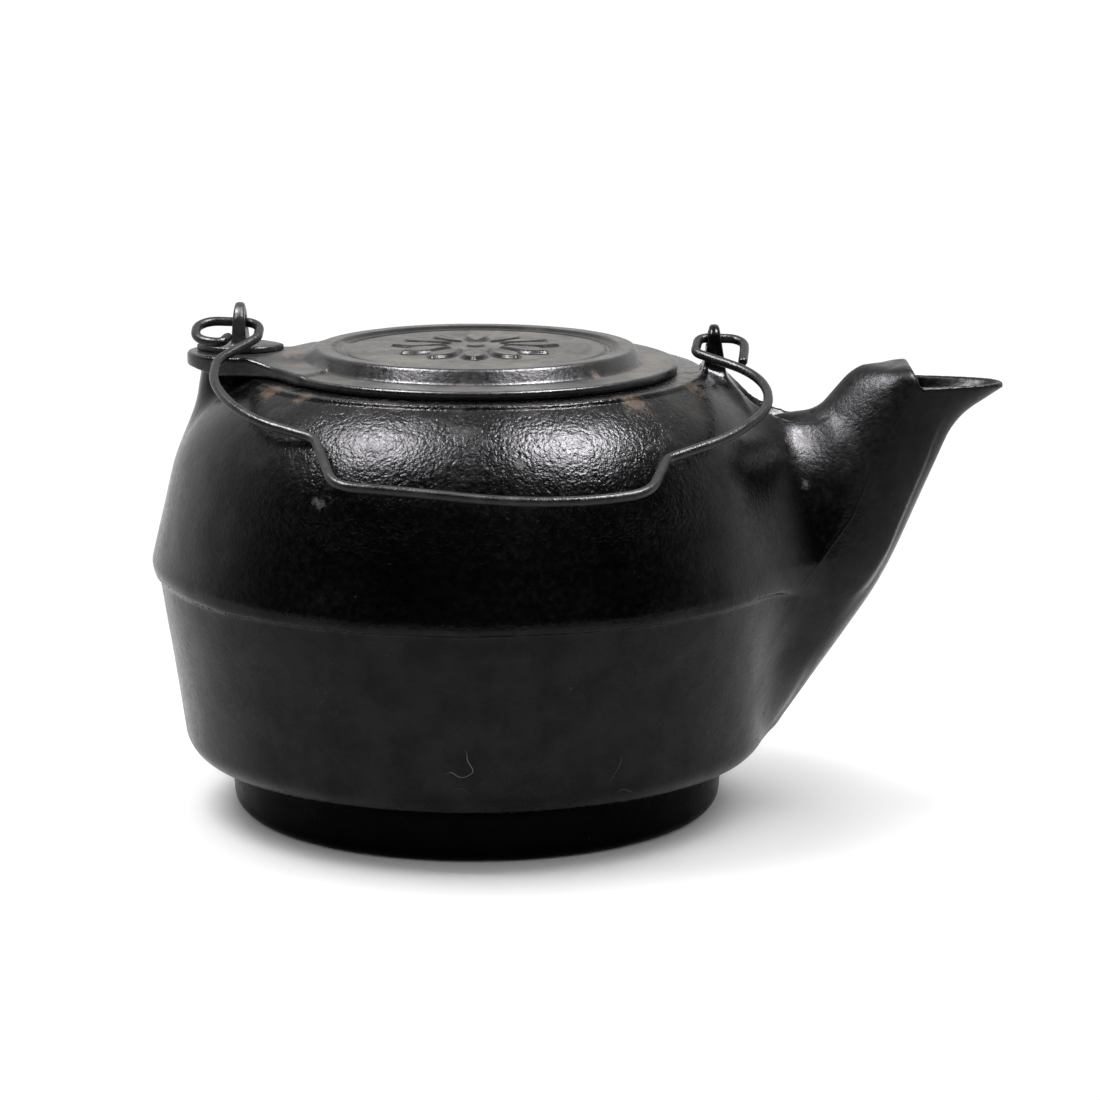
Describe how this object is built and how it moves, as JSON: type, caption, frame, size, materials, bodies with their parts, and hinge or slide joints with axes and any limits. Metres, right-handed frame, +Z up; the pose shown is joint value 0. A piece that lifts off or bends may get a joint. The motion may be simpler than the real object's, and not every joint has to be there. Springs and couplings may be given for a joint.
{
  "type": "cast iron kettle",
  "caption": "Cast iron stove kettle with a raised flat foot, a long spout, a sideways swivelling lid and a loose swinging wire bail handle.",
  "frame": {"origin": "centre of the flat bottom of the foot", "axes": "+X towards the spout, +Z up, -Y towards the side on which the bail rests"},
  "size_m": [0.3626, 0.2834, 0.2169],
  "materials": {
    "black_cast_iron": "blackened, pebbled casting with a light oil sheen",
    "worn_cast_iron": "worn grey casting with traces of rust",
    "dark_wire": "smooth dark iron wire"
  },
  "bodies": {
    "kettle": {"kettle_body": "black_cast_iron", "spout": "black_cast_iron", "rear_ear": "worn_cast_iron", "ear_washer": "worn_cast_iron"},
    "lid": {"lid": "worn_cast_iron"},
    "bail": {"bail": "dark_wire"}
  },
  "joints": [
    {"name": "lid_swing", "type": "hinge", "parent": "kettle", "child": "lid", "pos_m": [-0.0998, 0, 0.19], "axis": [0, 0, 1], "range_deg": [0, 105]},
    {"name": "bail_swing", "type": "hinge", "parent": "kettle", "child": "bail", "pos_m": [-0.0998, 0, 0.2084], "axis": [-0.9994, 0, 0.0343], "range_deg": [0, 197]}
  ]
}
